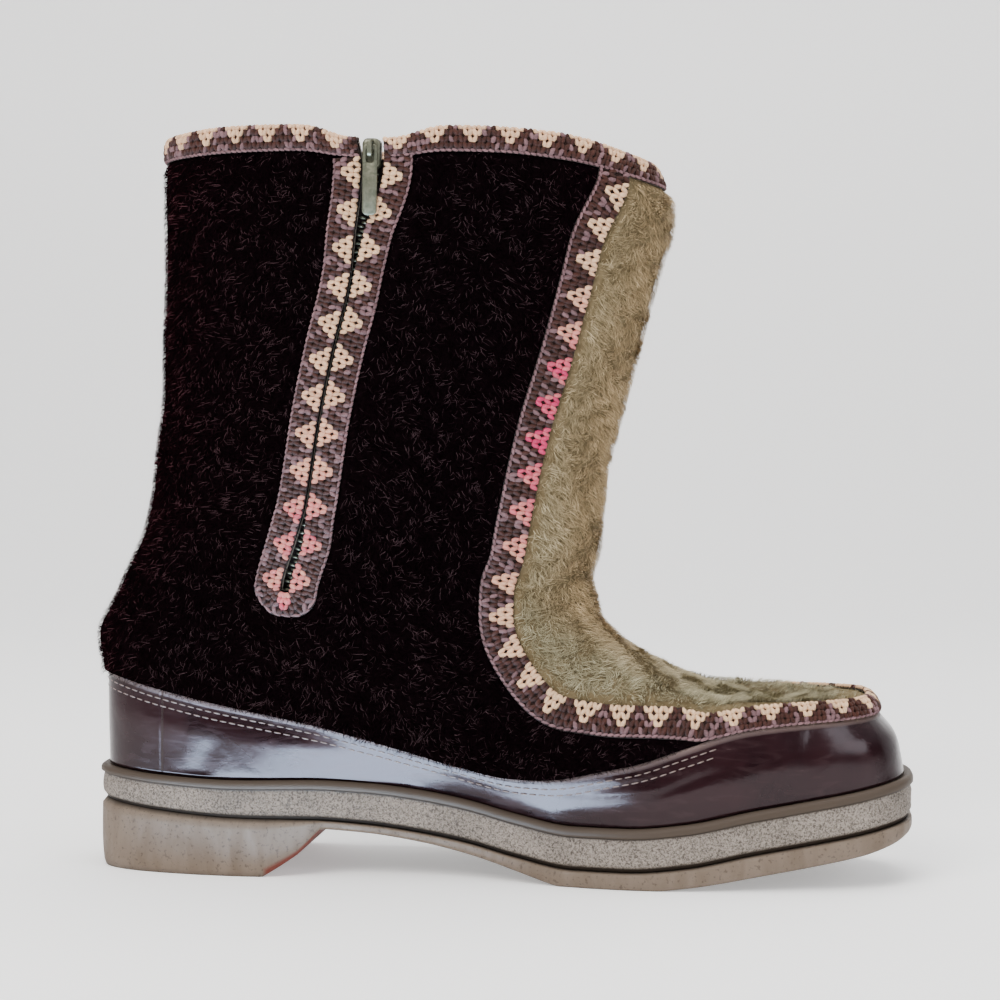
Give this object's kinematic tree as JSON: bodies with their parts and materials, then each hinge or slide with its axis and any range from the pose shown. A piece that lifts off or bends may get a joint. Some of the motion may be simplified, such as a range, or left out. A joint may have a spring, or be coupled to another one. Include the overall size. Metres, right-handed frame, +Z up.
{
  "type": "winter boot",
  "caption": "Ankle-high left winter boot: plush fur shaft, olive fur front panel, leather foxing, woven braid trim, side zip and low block heel.",
  "frame": {"origin": "bottom centre of the boot's box, on the floor plane", "axes": "+X to the toe, +Z up; the medial side with the zip faces -Y"},
  "size_m": [0.2808, 0.1006, 0.2515],
  "materials": {
    "sole": "matt moulded rubber with a crinkled band",
    "footbed": "brushed pile cloth",
    "fur": "dark brown plush fur",
    "olive_fur": "olive plush fur",
    "leather": "glossy dark brown leather",
    "braid": "woven folk braid",
    "tape": "woven zip tape",
    "zip_metal": "dull olive-grey coated metal"
  },
  "bodies": {
    "boot": {"outsole": "sole", "midsole": "sole", "insole": "footbed", "upper": "fur", "front_panel": "olive_fur", "foxing": "leather", "panel_braid": "braid", "collar_braid": "braid", "zip_braid": "braid", "zip_tape": "tape", "zip_teeth": "zip_metal", "zip_slider": "zip_metal"},
    "pull": {"zip_pull": "zip_metal"}
  },
  "joints": [
    {"name": "pull_swing", "type": "hinge", "parent": "boot", "child": "pull", "pos_m": [-0.03766, -0.0471, 0.24241], "axis": [-0.9996, 0.0108, 0.0241], "range_deg": [0, 165]}
  ]
}
